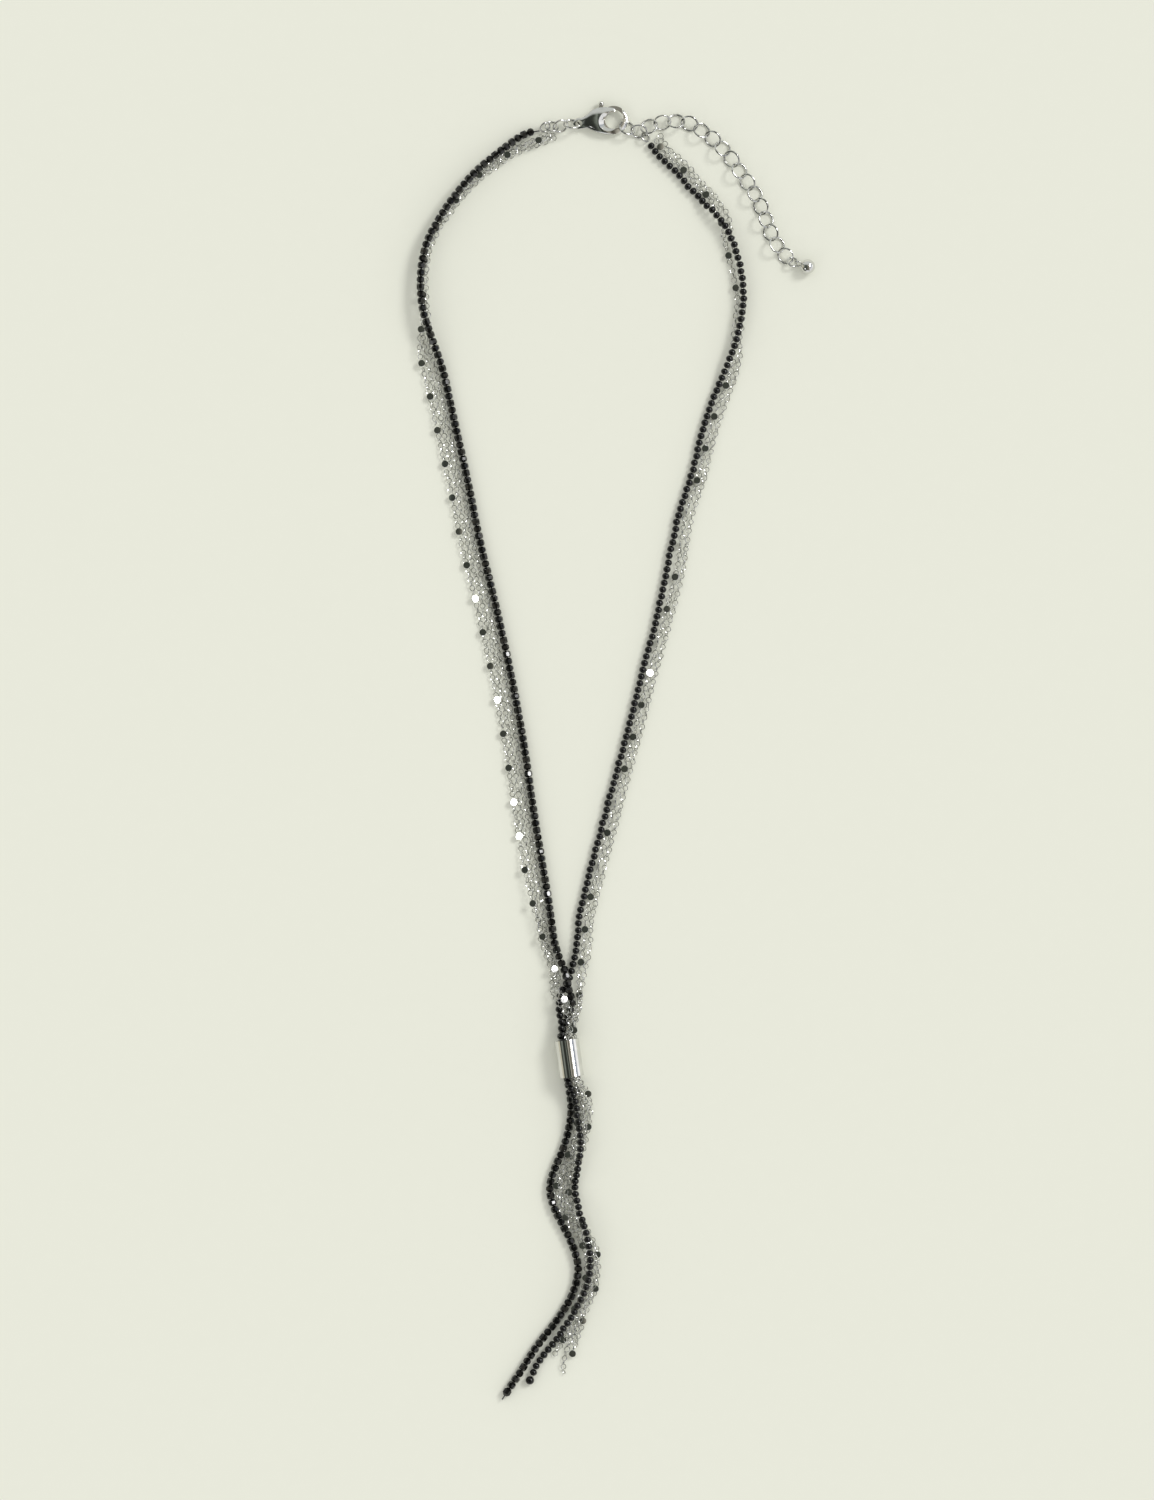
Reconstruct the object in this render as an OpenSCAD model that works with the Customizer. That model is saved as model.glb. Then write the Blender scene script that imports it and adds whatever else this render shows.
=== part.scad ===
// Lariat necklace lying flat on a table: two strings of black beads and five
// fine silver chains, drawn through a slider tube, with a lobster clasp and a
// ring extender. X runs across, Y from the tail to the clasp, Z is up, and
// the table is the plane Z = 0. Sizes are in millimetres.

/* [Beads] */
// Diameter of a faceted bead, corner to corner
facet_bead_d = 2.25; // [2:0.05:2.3]
// Length of a faceted bead along its thread
facet_bead_len = 1.85; // [1.7:0.05:2.1]
// Diameter of a round bead
round_bead_d = 2.0; // [1.8:0.05:2.1]
// Diameter of the last bead of each string
end_bead_d = 2.4; // [2.2:0.1:3.0]
// Play between two beads along the thread
bead_play = 0.15; // [0.1:0.05:0.3]
// Diameter of the thread
thread_d = 0.35; // [0.3:0.05:0.5]
// Play of the thread in a bead's bore, all round
thread_play = 0.2; // [0.15:0.05:0.3]

/* [Chains] */
// Width of a chain
chain_w = 1.5; // [1.2:0.05:1.6]
// Space left between two strands that lie on each other
strand_gap = 0.1; // [0.1:0.05:0.2]

/* [Slider tube] */
// Length of the slider tube
tube_len = 10.4; // [9:0.2:12]
// Bore of the slider tube
tube_bore_d = 6.1; // [5.6:0.1:6.4]
// Wall of the slider tube
tube_wall = 0.4; // [0.2:0.05:0.6]

/* [Clasp] */
// Thickness of the clasp body at its middle line
clasp_thick = 3.2; // [2.8:0.1:4]
// Distance from the eye to the middle of the hook
clasp_reach = 9.75; // [9:0.25:11]
// Diameter of the hook's opening
hook_open_d = 5.3; // [4.8:0.1:5.6]
// Width of the clasp at the hook
hook_outer_d = 8.1; // [7.8:0.1:8.8]
// Diameter of the hook's wire
hook_wire_d = 1.2; // [1:0.1:1.3]
// Thickness of the lever
lever_thick = 1.1; // [0.8:0.1:1.4]
// Play of the lever in its slot, on each side
lever_play = 0.15; // [0.1:0.05:0.3]
// Diameter of the lever's pin
pin_d = 0.9; // [0.7:0.1:1.2]
// Play of the lever on its pin, all round
pin_play = 0.08; // [0.04:0.02:0.1]
// Diameter of the lever's thumb knob
knob_d = 1.6; // [1.2:0.1:1.8]

/* [Extender] */
// Outer diameter of an extender link
link_d = 5.15; // [4.8:0.05:5.4]
// Wire of an extender link
link_wire_d = 0.55; // [0.45:0.05:0.6]
// Play between two links pulled tight
link_play = 0.15; // [0.1:0.05:0.25]
// Diameter of the end ball
end_ball_d = 4.1; // [3:0.1:5]

/* [Hidden] */

// Colours
BLACK = [0.06, 0.06, 0.07];
GLOSS_BLACK = [0.09, 0.09, 0.1];
THREAD_GREY = [0.25, 0.25, 0.27];
SILVER = [0.8, 0.8, 0.8];
BRIGHT_SILVER = [0.88, 0.88, 0.87];

// Radii of the strands and how close two of them may lie
facet_r = facet_bead_d / 2;
facet_floor = facet_r + 0.03;
round_r = round_bead_d / 2;
chain_r = chain_w / 2;
chain_pitch = chain_w + strand_gap;
facet_reach = facet_r + chain_r + strand_gap;
round_reach = round_r + chain_r + strand_gap;
STRAND_SIDES = 8;
MIDDLE = [-0.96, -0.14];
NECK_STEP = 6.2;
THREAD_STEP = 3.1;

// Chosen route of each strand. The neck routes are points on the table, the
// crossing and tail routes are points in space.
FACET_NECK = [
    [-27.3, 171.9], [-33.5, 167.2], [-39.9, 161.8], [-46.3, 154.3], [-51.1, 147.0],
    [-54.0, 140.8], [-55.3, 132.7], [-55.0, 124.6], [-52.8, 116.8], [-49.7, 108.1],
    [-46.1, 92.7], [-42.1, 74.8], [-39.1, 59.9], [-34.6, 41.4], [-29.8, 19.6],
    [-26.2, -0.3], [-23.9, -16.2], [-21.4, -31.4], [-19.5, -42.8], [-18.1, -53.2]
];
ROUND_NECK = [
    [9.1, 169.1], [11.6, 165.8], [15.5, 162.4], [19.7, 157.6], [24.5, 152.6],
    [29.0, 147.8], [31.8, 142.5], [33.5, 137.5], [34.6, 131.6], [35.0, 126.0],
    [34.0, 119.0], [31.8, 111.2], [28.4, 103.0], [24.2, 91.6], [20.6, 77.6],
    [16.8, 65.5], [13.6, 51.0], [10.5, 36.4], [6.9, 22.4], [2.7, 5.9],
    [-1.3, -9.0], [-4.9, -22.4], [-8.3, -35.3], [-11.1, -47.6], [-11.6, -54.0]
];
// Sideways place of each chain from its bead string, outwards positive, as
// [place along the route, offset] pairs
LEFT_1_LANE = [
    [0, -3.4], [1, -2.8], [2, -2.2], [3, -1.8], [4, -1.4], [7, -1.4], [7.5, -0.9],
    [8, 0.4], [8.5, 1.5], [9, 1.95], [19, 1.95]
];
LEFT_3_LANE = [
    [0, -2.6], [1, -2.0], [2, -1.4], [3, -1.0], [4, -0.6], [7, -0.6], [7.5, 0.6],
    [8, 2.9], [8.5, 4.7], [9, 5.2], [16, 5.2], [17, 5.2], [18, 4.4], [19, 2.75]
];
RIGHT_1_LANE = [
    [0, 3.55], [4, 3.55], [5, 2.2], [5.5, 1.0], [6, 0.2], [7, -0.2], [9.5, 0.1],
    [10.5, 1.0], [11, 2.3], [11.5, 3.3], [12, 3.65], [15, 3.7], [16, 4.5], [17, 3.9],
    [18, 3.6], [24, 3.65]
];
RIGHT_2_LANE = [
    [0, 1.95], [4, 1.95], [5, -0.3], [5.5, -1.5], [6, -2.1], [7, -2.4], [8, -2.2],
    [8.7, -1.8], [9.5, -1.7], [10.5, -0.9], [11, 0.6], [11.5, 1.6], [12, 1.95],
    [15, 2.0], [16, 2.8], [17, 2.2], [18, 1.95], [24, 2.0]
];
// Start of each strand at its ring: on the left from the clasp's eye
FACET_START = [[-11.04, -2.05, 1.25], [-13.54, -2.4, 1.4]];
LEFT_1_START = [[-6.34, -3.9, 0.8], [-10.14, -5.4, 0.75], [-13.94, -7.0, 0.75]];
LEFT_2_START = [[-7.54, -2.7, 0.8], [-10.74, -3.8, 0.75], [-14.34, -5.2, 0.75]];
LEFT_3_START = [[-6.54, -3.2, 2.3], [-10.34, -4.4, 2.25], [-14.04, -5.9, 2.2]];
ROUND_START = [[6.07, -4.07, 1.05]];
RIGHT_1_START = [[8.87, -1.42, 0.8]];
RIGHT_2_START = [[7.77, -2.72, 0.8]];
// Crossing above the slider tube
FACET_CROSS = [
    [-17.0, -56.8, 1.95], [-15.9, -59.8, 2.3], [-15.0, -62.0, 2.8], [-14.4, -64.2, 3.35],
    [-14.1, -66.2, 3.15], [-13.35, -68.8, 2.2], [-12.9, -71.2, 1.6], [-13.4, -73.0, 1.3],
    [-14.4, -75.0, 1.25], [-15.5, -77.5, 1.75]
];
ROUND_CROSS = [
    [-12.2, -57.8, 1.0], [-12.95, -61.0, 1.0], [-14.0, -64.2, 1.0], [-15.7, -67.2, 1.0],
    [-16.55, -70.2, 1.15], [-16.6, -72.2, 1.7], [-16.2, -75.0, 3.1], [-15.95, -77.5, 4.15]
];
LEFT_1_CROSS = [
    [-17.25, -61.0, 0.75], [-16.9, -64.0, 0.8], [-16.9, -66.5, 2.3], [-16.3, -68.0, 2.95],
    [-15.35, -69.3, 2.9], [-14.5, -71.2, 2.9], [-13.9, -73.0, 3.35], [-13.5, -75.0, 3.15],
    [-13.8, -77.5, 3.15]
];
LEFT_2_CROSS = [
    [-18.95, -61.0, 0.75], [-18.55, -64.0, 0.75], [-18.6, -66.5, 0.95], [-18.4, -68.0, 2.2],
    [-17.6, -69.3, 3.0], [-16.3, -71.2, 3.6], [-14.9, -73.0, 4.75], [-13.95, -75.0, 4.75],
    [-13.7, -77.5, 4.8]
];
LEFT_3_CROSS = [
    [-18.05, -61.0, 2.2], [-17.7, -64.0, 2.5], [-17.3, -66.5, 4.0], [-16.6, -68.0, 4.5],
    [-15.6, -69.3, 4.5], [-14.0, -71.2, 4.5], [-12.6, -73.0, 4.6], [-12.15, -75.0, 4.15],
    [-12.35, -77.5, 3.95]
];
RIGHT_1_CROSS = [
    [-8.7, -59.0, 0.75], [-9.4, -62.0, 1.4], [-10.0, -65.3, 2.1], [-10.9, -69.4, 2.35],
    [-11.0, -71.9, 2.35], [-11.85, -75.0, 2.35], [-12.1, -77.5, 2.3]
];
RIGHT_2_CROSS = [
    [-10.4, -59.0, 0.75], [-11.05, -62.0, 0.75], [-10.95, -65.3, 0.75], [-10.9, -69.4, 0.75],
    [-10.8, -71.9, 0.75], [-12.1, -75.0, 0.75], [-13.25, -77.5, 0.75]
];
// Tail below the slider tube
FACET_TAIL = [
    [-13.8, -94.8, 1.6], [-13.4, -97.5, 1.0], [-13.3, -101.5, 1.0], [-15.15, -110.6, 1.0],
    [-18.25, -118.2, 1.0], [-19.3, -122.4, 1.0], [-18.3, -127.4, 1.0], [-15.8, -132.7, 1.0],
    [-13.0, -138.3, 1.0], [-11.3, -144.8, 1.0], [-12.1, -150.1, 1.0], [-16.1, -157.9, 1.0],
    [-22.9, -166.9, 1.0], [-27.0, -173.3, 1.0], [-30.7, -178.9, 1.15], [-32.6, -181.8, 1.15]
];
ROUND_TAIL = [
    [-13.2, -94.8, 3.85], [-12.5, -97.0, 3.55], [-12.0, -99.5, 3.6], [-11.5, -103.0, 3.9],
    [-10.7, -107.0, 4.1], [-10.5, -110.6, 4.1], [-10.9, -113.8, 3.9], [-11.4, -116.5, 3.55],
    [-11.9, -119.5, 2.3], [-12.2, -122.4, 1.1], [-11.4, -127.4, 2.3], [-10.5, -130.6, 3.5],
    [-9.6, -133.2, 4.0], [-8.4, -138.3, 4.1], [-8.0, -144.0, 4.1], [-8.9, -149.5, 4.1],
    [-12.5, -157.3, 4.1], [-15.2, -161.5, 3.3], [-17.8, -165.5, 1.6], [-21.7, -170.2, 1.0],
    [-24.2, -175.2, 1.0]
];
LEFT_1_EXIT = [[-11.45, -94.8, 2.45], [-10.8, -97.0, 2.3]];
LEFT_2_EXIT = [[-11.6, -94.2, 4.6], [-9.5, -97.2, 3.8]];
LEFT_3_EXIT = [[-10.1, -93.6, 3.8], [-8.95, -95.3, 2.6], [-8.15, -97.2, 1.5]];
RIGHT_1_EXIT = [[-10.2, -94.8, 1.2], [-9.85, -97.0, 0.95]];
RIGHT_2_EXIT = [[-11.8, -94.8, 0.8], [-11.45, -97.0, 0.75]];
// Middle line of the pile of chains in the tail and its direction; three
// chains lie on the table and two on top of them
PILE_MIDDLE = [
    [-9.5, -99.5], [-9.6, -102.5], [-10.4, -107.0], [-11.2, -110.6], [-13.8, -116.8],
    [-15.7, -122.4], [-14.0, -128.6], [-10.7, -134.5], [-7.9, -139.5], [-7.3, -145.0],
    [-7.9, -150.0], [-10.9, -157.3]
];
LEFT_1_END = [[-13.5, -162.3, 2.2], [-15.0, -166.0, 2.2]];
LEFT_2_END = [[-11.9, -163.2, 2.2], [-13.4, -167.0, 2.2]];
LEFT_3_END = [[-11.0, -163.6, 0.75], [-12.5, -167.6, 0.75], [-13.3, -171.0, 0.75]];
RIGHT_1_END = [
    [-12.6, -162.8, 0.75], [-14.2, -167.0, 0.75], [-15.3, -171.0, 0.75],
    [-15.3, -175.3, 0.75]
];
RIGHT_2_END = [[-14.3, -161.9, 0.75], [-16.0, -166.2, 0.75], [-18.7, -170.5, 0.75]];

// Points on a smooth route
function slope(p, i) =
    i == 0 ? (p[1] - p[0]) / norm(p[1] - p[0])
    : i == len(p) - 1 ? (p[i] - p[i - 1]) / norm(p[i] - p[i - 1])
    : let(before = norm(p[i] - p[i - 1]), after = norm(p[i + 1] - p[i]))
        ((p[i] - p[i - 1]) * after / before + (p[i + 1] - p[i]) * before / after)
        / (before + after);
function on_route(p, t) =
    let(i = min(floor(t), len(p) - 2), u = t - i, h = norm(p[i + 1] - p[i]))
    p[i] * (2 * u * u * u - 3 * u * u + 1)
    + slope(p, i) * h * (u * u * u - 2 * u * u + u)
    + p[i + 1] * (3 * u * u - 2 * u * u * u)
    + slope(p, i + 1) * h * (u * u * u - u * u);
function stations(p, step) = [
    for (i = [0 : len(p) - 2])
        let(n = ceil(norm(p[i + 1] - p[i]) / step))
        for (k = [0 : n - 1]) i + k / n,
    len(p) - 1
];
function smooth(p, step, lowest) = [
    for (t = stations(p, step)) let(q = on_route(p, t)) [q.x, q.y, max(q.z, lowest)]
];
function right_of(p, t) =
    let(d = on_route(p, min(t + 0.05, len(p) - 1)) - on_route(p, max(t - 0.05, 0)))
    [d.y, -d.x] / norm(d);
function on_table(p, t, offset, z) =
    let(q = on_route(p, t) + right_of(p, t) * offset) [q.x, q.y, z];

// Height at which a strand rests on another that lies offset beside it
function over(z, offset, reach) =
    abs(offset) >= reach ? 0 : z + sqrt(reach * reach - offset * offset);
// Places just before and after a place, so that a strand is lifted in time
NEAR = [-0.25, -0.12, 0, 0.12, 0.25];
function near(t) = [for (k = NEAR) t + k];

function left_1(t) = lookup(t, LEFT_1_LANE);
function left_2(t) = left_1(t) + chain_pitch + PILE_SLACK;
function left_3(t) = lookup(t, LEFT_3_LANE);
function left_3_z(t) = max([for (s = near(t)) max(
    chain_r,
    over(chain_r, left_3(s) - left_1(s), chain_pitch),
    over(chain_r, left_3(s) - left_2(s), chain_pitch))]);
function facet_z(t) = max([for (s = near(t)) max(
    facet_floor,
    over(chain_r, left_1(s), facet_reach),
    over(chain_r, left_2(s), facet_reach),
    over(left_3_z(s), left_3(s), facet_reach))]);
function right_1(t) = lookup(t, RIGHT_1_LANE);
function right_2(t) = lookup(t, RIGHT_2_LANE);
function round_z(t) = max([for (s = near(t)) max(
    round_r,
    over(chain_r, right_1(s), round_reach),
    over(chain_r, right_2(s), round_reach))]);

// Slider tube: it rests on the table and leans a little to the left
tube_r = tube_bore_d / 2 + tube_wall;
TUBE_AT = [-13.8, -86.2];
TUBE_TILT = 8;
TUBE_TURN = 18;
facet_orbit = tube_bore_d / 2 - facet_r - strand_gap;
round_orbit = tube_bore_d / 2 - round_r - strand_gap;
chain_orbit = tube_bore_d / 2 - chain_r - strand_gap;
TUBE_SHARES = [-0.06, 0.25, 0.5, 0.75, 1.06];
// Place of each strand round the tube's middle line where it goes in
FACET_ANGLE = -152;
ROUND_ANGLE = 120;
LEFT_1_ANGLE = 5.3;
LEFT_2_ANGLE = 60.5;
LEFT_3_ANGLE = 12.5;
RIGHT_1_ANGLE = -35;
RIGHT_2_ANGLE = -83;
left_1_orbit = 0.38;
function in_tube(angle, orbit, share) =
    let(a = angle + TUBE_TURN * max(0, min(1, share)), down = tube_len * (share - 0.5))
    [
        TUBE_AT.x + cos(TUBE_TILT) * orbit * cos(a) + sin(TUBE_TILT) * down,
        TUBE_AT.y + sin(TUBE_TILT) * orbit * cos(a) - cos(TUBE_TILT) * down,
        tube_r + orbit * sin(a)
    ];
function through_tube(angle, orbit) = [for (s = TUBE_SHARES) in_tube(angle, orbit, s)];

// Tail chains: a pile with three lanes on the table and two on top
PILE_STEP = 5;
PILE_SLACK = 0.02;
function in_pile(lane, z) = [
    for (t = stations(PILE_MIDDLE, PILE_STEP))
        on_table(PILE_MIDDLE, t, -lane * (chain_pitch + PILE_SLACK), z)
];
upper_z = chain_r + chain_pitch * sqrt(3) / 2 + PILE_SLACK;

// Rings: radius, wire and lean
EYE_RING = [2.2, 0.3, 57];
GATHER_RING = [2.0, 0.3, -45];
SIDE_LINK = [1.8, 0.25, 42];
END_LOOP = [1.4, 0.25, -42];
HOOK_RING = [2.2, 0.3, -40];
RIGHT_RING = [2.2, 0.3, 42];
ROUND_LOOP = [1.3, 0.25, -42];

// Clasp, in its own plane: the eye is at [0, 0], the hook's middle at
// [clasp_reach, 0], and the lever is on the upper side. The hook hangs in the
// hook ring, which stays where it is, and the left side goes from the eye.
HOOK_RING_AT = [2.43, 174.02];
HOOK_RING_TURN = -29.8;
HOOK_RING_SLACK = 0.394;
CLASP_TURN = 5.2;
eye_d = 3.2;
eye_hole_d = 1.8;
eye_thick = 0.8;
hook_r = hook_outer_d / 2 - hook_wire_d / 2;
hook_at = HOOK_RING_AT - way(HOOK_RING_TURN)
    * (hook_r - hook_wire_d / 2 + HOOK_RING[0] - HOOK_RING[1] - HOOK_RING_SLACK);
eye_at = hook_at - way(CLASP_TURN) * clasp_reach;
HOOK_FROM = -150;
HOOK_TO = 48;
PIVOT_ANGLE = 151.8;
PIVOT_OUT = 0.58;
pivot = [clasp_reach, 0] + way(PIVOT_ANGLE) * (hook_r + PIVOT_OUT);
lever_d = 2.0;
gate_w = 1.1;
GATE_FROM = 138;
GATE_TO = 22;
NOSE_ANGLE = 38;
nose_joint = norm([clasp_reach, 0] + way(NOSE_ANGLE) * hook_r - pivot);
joint_gap = 0.15;
clasp_z = clasp_thick / 2;
slot_h = lever_thick + 2 * lever_play;
lens_r = 8.9;
shell_inset = 0.12;
KNOB_ANGLE = 121.6;
KNOB_OUT = 2.36;
knob_at = [clasp_reach, 0] + way(KNOB_ANGLE) * (hook_r + KNOB_OUT);
OUTLINE_STEPS = 14;
// Cuts in the body: the shell ends before the hook's middle, the eye is
// thinned a little past its rim, and the slot goes behind the lever's round
// end and beside the eye's line
SHELL_END = 0.9;
EYE_RIM = 0.3;
SLOT_BEHIND = 0.8;
SLOT_SIDE = 0.3;
PIN_ROOT = 0.3;

// Full route of each strand
facet_neck = concat(from_eye(FACET_START),
    [for (t = stations(FACET_NECK, THREAD_STEP)) on_table(FACET_NECK, t, 0, facet_z(t))],
    smooth(FACET_CROSS, THREAD_STEP, facet_floor));
facet_mid = through_tube(FACET_ANGLE, facet_orbit);
facet_tail = smooth(FACET_TAIL, THREAD_STEP, facet_floor);
facet_route = concat(facet_neck, facet_mid, facet_tail);
round_neck = concat(from_hook_ring(ROUND_START),
    [for (t = stations(ROUND_NECK, NECK_STEP)) on_table(ROUND_NECK, t, 0, round_z(t))],
    ROUND_CROSS, [for (s = [for (k = [0 : 2]) TUBE_SHARES[k]]) in_tube(ROUND_ANGLE, round_orbit, s)]);
round_tail = concat([for (s = [for (k = [2 : 4]) TUBE_SHARES[k]]) in_tube(ROUND_ANGLE, round_orbit, s)],
    smooth(ROUND_TAIL, NECK_STEP, round_r));
left_1_route = concat(from_eye(LEFT_1_START),
    [for (t = stations(FACET_NECK, NECK_STEP)) if (t > 0)
        on_table(FACET_NECK, t, left_1(t), chain_r)],
    LEFT_1_CROSS, through_tube(LEFT_1_ANGLE, left_1_orbit), LEFT_1_EXIT,
        in_pile(-0.5, upper_z), LEFT_1_END);
left_2_route = concat(from_eye(LEFT_2_START),
    [for (t = stations(FACET_NECK, NECK_STEP)) if (t > 0)
        on_table(FACET_NECK, t, left_2(t), chain_r)],
    LEFT_2_CROSS, through_tube(LEFT_2_ANGLE, chain_orbit), LEFT_2_EXIT,
        in_pile(0.5, upper_z), LEFT_2_END);
left_3_route = concat(from_eye(LEFT_3_START),
    [for (t = stations(FACET_NECK, NECK_STEP)) if (t > 0)
        on_table(FACET_NECK, t, left_3(t), left_3_z(t))],
    LEFT_3_CROSS, through_tube(LEFT_3_ANGLE, chain_orbit), LEFT_3_EXIT,
        in_pile(1, chain_r), LEFT_3_END);
right_1_route = concat(from_hook_ring(RIGHT_1_START),
    [for (t = stations(ROUND_NECK, NECK_STEP)) if (t > 0)
        on_table(ROUND_NECK, t, -right_1(t), chain_r)],
    RIGHT_1_CROSS, through_tube(RIGHT_1_ANGLE, chain_orbit), RIGHT_1_EXIT,
        in_pile(0, chain_r), RIGHT_1_END);
right_2_route = concat(from_hook_ring(RIGHT_2_START),
    [for (t = stations(ROUND_NECK, NECK_STEP)) if (t > 0)
        on_table(ROUND_NECK, t, -right_2(t), chain_r)],
    RIGHT_2_CROSS, through_tube(RIGHT_2_ANGLE, chain_orbit), RIGHT_2_EXIT,
        in_pile(-1, chain_r), RIGHT_2_END);

// Distances along a route, and the point at a distance
function sum_to(p) = [
    for (i = 0, s = 0; i < len(p); s = i + 1 < len(p) ? s + norm(p[i + 1] - p[i]) : s, i = i + 1) s
];
function keyed(p, k) = let(s = sum_to(p)) [for (i = [0 : len(p) - 1]) [s[i], p[i][k]]];
function length_of(p) = sum_to(p)[len(p) - 1];

// Rings: each has a middle, a heading, a lean about that heading, the radius
// of its wire's centre line and the radius of its wire. Its lowest point is
// on the table, unless it is lifted.
function ring_z(r, lean, wire) = r * sin(abs(lean)) + wire;
link_wire = link_wire_d / 2;
link_r = link_d / 2 - link_wire;
link_pitch = 2 * link_r - link_wire_d - link_play;
LINK_LEAN = 36;
LINK_COUNT = 16;
EXTENDER_PATH = [
    [6.75, 173.05], [8.9, 174.75], [13.9, 176.0], [18.6, 175.9], [21.9, 174.3], [25.4, 171.9],
    [28.1, 169.4], [30.9, 166.4], [33.6, 162.4], [36.4, 158.4], [38.7, 154.8], [40.2, 151.2],
    [41.6, 147.6], [43.0, 143.6], [45.2, 140.0], [48.0, 136.9], [51.0, 135.6], [56.5, 134.6]
];
path_x = keyed(EXTENDER_PATH, 0);
path_y = keyed(EXTENDER_PATH, 1);
function along(s) = [lookup(s, path_x), lookup(s, path_y)];
function heading_of(v) = atan2(v.y, v.x);
function way(angle) = [cos(angle), sin(angle)];
function from_eye(points) = [for (p = points) [p.x + eye_at.x, p.y + eye_at.y, p.z]];
function from_hook_ring(points) = [for (p = points) [p.x + HOOK_RING_AT.x, p.y + HOOK_RING_AT.y, p.z]];

module swept(p, r) {
    n = len(p);
    function along_at(i) = let(
        a = p[max(i - 1, 0)], b = p[i], c = p[min(i + 1, n - 1)],
        u = i > 0 ? (b - a) / norm(b - a) : [0, 0, 0],
        v = i < n - 1 ? (c - b) / norm(c - b) : [0, 0, 0])
        (u + v) / norm(u + v);
    points = [
        for (i = [0 : n - 1])
            let(t = along_at(i), s0 = cross(t, [0, 0, 1]), s = s0 / norm(s0), u = cross(s, t))
            for (k = [0 : STRAND_SIDES - 1])
                let(a = 360 * k / STRAND_SIDES)
                p[i] + r * (cos(a) * s + sin(a) * u)
    ];
    faces = concat(
        [[for (k = [0 : STRAND_SIDES - 1]) k]],
        [for (i = [0 : n - 2]) for (k = [0 : STRAND_SIDES - 1])
            let(j = (k + 1) % STRAND_SIDES, a = i * STRAND_SIDES, b = a + STRAND_SIDES)
            [a + k, b + k, b + j, a + j]],
        [[for (k = [STRAND_SIDES - 1 : -1 : 0]) (n - 1) * STRAND_SIDES + k]]
    );
    polyhedron(points = points, faces = faces, convexity = 10);
}

// Everything is moved so that the origin is under the middle of the whole
module placed() {
    translate([-MIDDLE.x, -MIDDLE.y, 0])
        children();
}

// A wire ring or part of one, lying in its own plane
module wire_ring(r, wire, from = 0, turn = 360) {
    rotate([0, 0, from])
        rotate_extrude(angle = turn, $fn = 64)
            translate([r, 0])
                circle(r = wire, $fn = 24);
}

// A ring on the table: heading is the way its long axis points
module ring(at, heading, lean, r, wire, lift = 0) {
    translate([at.x, at.y, ring_z(r, lean, wire) + lift])
        rotate([0, 0, heading])
            rotate([lean, 0, 0])
                wire_ring(r, wire);
}

// Octagon with flats at x = a, y = b and cut corners
module octagon(a, b) {
    c = min(a, b) * (2 - sqrt(2));
    polygon([
        [a, c - b], [a, b - c], [a - c, b], [c - a, b],
        [-a, b - c], [-a, c - b], [c - a, -b], [a - c, -b]
    ]);
}

// A faceted bead with its bore along X
module facet_bead(d, l, bore_d) {
    flat = d / 2 * cos(22.5);
    difference() {
        intersection() {
            rotate([90, 0, 90])
                linear_extrude(l, center = true)
                    octagon(flat, flat);
            linear_extrude(d, center = true)
                octagon(l / 2, flat);
            rotate([90, 0, 0])
                linear_extrude(d, center = true)
                    octagon(l / 2, flat);
        }
        rotate([0, 90, 0])
            cylinder(d = bore_d, h = l + 2, center = true, $fn = 24);
    }
}

facet_x = keyed(facet_route, 0);
facet_y = keyed(facet_route, 1);
facet_h = keyed(facet_route, 2);
facet_pitch = facet_bead_len + bead_play;
bore_d = thread_d + 2 * thread_play;
facet_length = length_of(facet_route);
// The first bead stands this far along the thread, clear of its loop
first_bead = 2.6;
end_facet_len = end_bead_d;
last_bead = facet_length - end_facet_len - bead_play - facet_bead_len / 2;
bead_count = floor((last_bead - first_bead) / facet_pitch) + 1;
neck_length = length_of(concat(facet_neck, [facet_mid[0], facet_mid[1], facet_mid[2]]));
neck_beads = floor((neck_length - first_bead) / facet_pitch) + 1;
BEAD_TURN = 37;

function facet_at(s) = [lookup(s, facet_x), lookup(s, facet_y), lookup(s, facet_h)];

module threaded(s, turn) {
    p = facet_at(s);
    d = facet_at(s + facet_bead_len / 2) - facet_at(s - facet_bead_len / 2);
    translate(p)
        rotate([0, -asin(d.z / norm(d)), heading_of(d)])
            rotate([turn, 0, 0])
                children();
}

module facet_beads(from, to) {
    color(BLACK) placed()
        for (i = [from : to - 1])
            threaded(first_bead + i * facet_pitch, i * BEAD_TURN)
                facet_bead(facet_bead_d, facet_bead_len, bore_d);
}

module faceted_beads_neck() {
    facet_beads(0, neck_beads);
}

module faceted_beads_tail() {
    facet_beads(neck_beads, bead_count);
}

module faceted_end_bead() {
    color(BLACK) placed()
        threaded(first_bead + (bead_count - 1) * facet_pitch
                + (facet_bead_len + end_facet_len) / 2 + bead_play, 0)
            facet_bead(end_bead_d, end_facet_len, bore_d);
}

module faceted_thread() {
    color(THREAD_GREY) placed()
        swept(facet_route, thread_d / 2);
}

module round_beads_neck() {
    color(GLOSS_BLACK) placed()
        swept(round_neck, round_r);
}

module round_beads_tail() {
    color(GLOSS_BLACK) placed()
        swept(round_tail, round_r);
}

module round_end_bead() {
    last = ROUND_TAIL[len(ROUND_TAIL) - 1];
    way = last - ROUND_TAIL[len(ROUND_TAIL) - 2];
    middle = last + way / norm(way) * (end_bead_d / 2 + bead_play);
    color(GLOSS_BLACK) placed()
        translate([middle.x, middle.y, end_bead_d / 2])
            sphere(d = end_bead_d, $fn = 48);
}

module chain(route) {
    color(SILVER) placed()
        swept(route, chain_r);
}

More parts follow.
